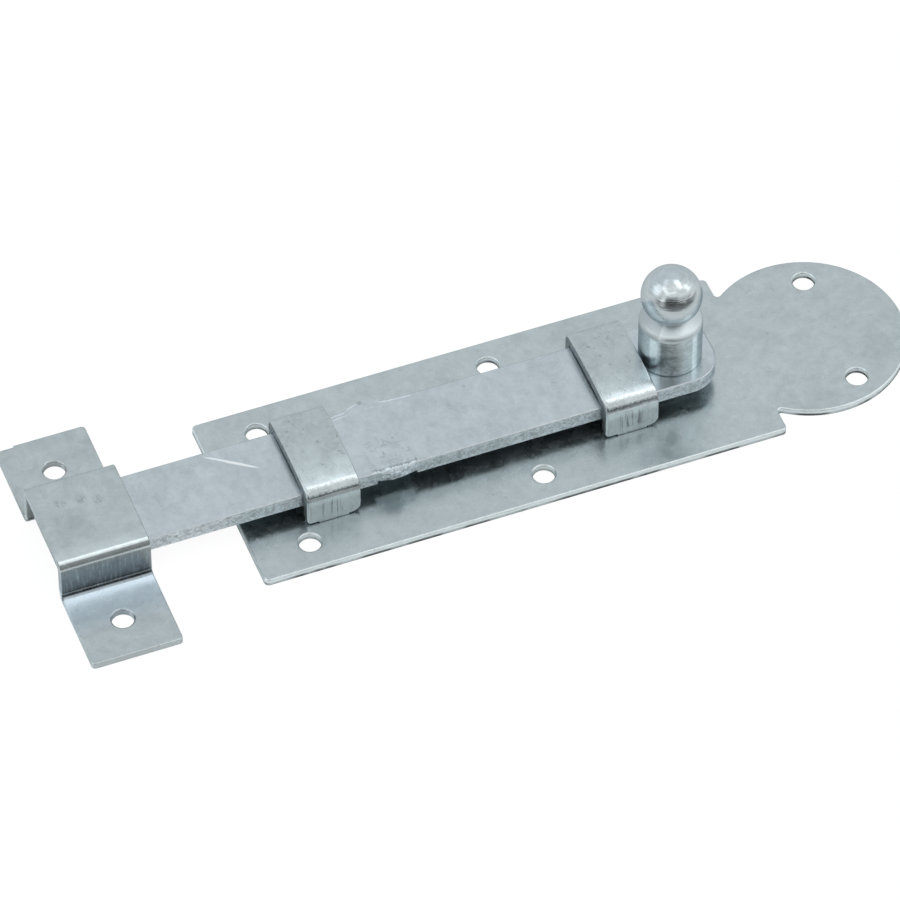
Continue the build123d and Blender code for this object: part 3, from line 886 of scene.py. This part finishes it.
# Painted shade: the wall of the screw hole is darkened.
hole_wall_shade = upward.opposite() * keeper.holes(KEEPER_HOLES, HOLE_REACH)
clusters = keeper.x * 0.0
for place in SCUFFS:
    clusters = clusters + keeper.spot(*place, 0.8, 1.0)
# Painted dark reflection: a soft dark spot on the crown.
dark_reflection = keeper.spot(*CROWN_DARK_REFLECTION, 1.0, 4.5)
keeper_shade = cloud.swing(0.24) + mottle.swing(0.32) + blots.swing(0.16) + 0.95
# Painted shade dulls the highlight on the top's rounded edges.
keeper_shade = keeper_shade - pits * 0.14 - keeper.edges * upward * 0.06 - hole_wall_shade * 0.18
# Painted highlight: a lighter strip along the near edge of the crown's top.
keeper_shade = keeper_shade + keeper.y.step(-7.0, -10.5) * keeper.z.step(11.5, 12.0) * 0.18
# Real scuff clusters, and the painted dark reflection on the crown.
keeper_shade = keeper_shade - upward * (clusters * blots.step(0.45, 0.60) * 0.26 + dark_reflection * 0.09)
facing_front = keeper.y.band(-14.0, -10.9, 0.2)
tilt = keeper.facing_z
# Painted shade and light across the near fold, by how far its normal leans: a dark band in the
# middle, a faint highlight near the top and a lighter band low down.
painted_fold_shade = tilt.band(0.52, 0.80, 0.05) * facing_front
painted_fold_highlight = tilt.band(0.84, 0.95, 0.03) * facing_front
painted_low_fold_light = tilt.band(0.14, 0.40, 0.06) * facing_front * keeper.z.step(8.0, 9.0)
keeper_shade = keeper_shade - painted_fold_shade * 0.52 + painted_fold_highlight * 0.06 + painted_low_fold_light * 0.25
upright = keeper.facing_y.abs().step(0.96, 0.995) * keeper.y.abs().step(16.0, 15.0)
foot_of_leg = keeper.z.step(9.0, 3.0)
# Painted shade: the legs are darkened, more toward the foot; the draw marks stay lighter.
keeper_shade = keeper_shade - upright * (foot_of_leg * 0.16 + 0.34 - draw.step(0.50, 0.66) * 0.36)
# Painted light: faces that look left are lightened.
keeper_shade = keeper_shade + keeper.facing_x.step(-0.7, -0.9) * 0.40
# Painted shade: a dark line in the crease at the foot of the near leg.
keeper_shade = keeper_shade - keeper.y.band(-13.9, -12.9, 0.2) * keeper.z.step(3.4, 2.6) * 0.28
keeper_rough = cloud.swing(0.06) + mottle.swing(0.20) + 0.25 + upright * 0.06
rise = (keeper.y.abs() * -1.0 + FOLD_REACH).math("MAXIMUM", 0.0) * keeper.z.step(3.0, 2.0)
keeper_height = mottle * 1.3 + blots * 0.6 - pits * 0.6 - upright * draw * 1.5
keeper_height = keeper_height + rise * rise * (FOLD_RISE / KEEPER_RELIEF)
# Painted reflected tint: the near flange by the fold turns bluer, and the near leg a little.
painted_reflection_tint = keeper.z.step(9.0, 8.0) * keeper.y.step(-27.0, -19.0) * keeper.y.step(-12.0, -12.6)
painted_reflection_tint = painted_reflection_tint * (upright * -0.6 + 1.0)
keeper_metal = keeper.finish(
    PLATE_COLOUR, keeper_shade, keeper_rough, keeper_height, KEEPER_RELIEF, painted_reflection_tint
)
coat("keeper", keeper_metal)
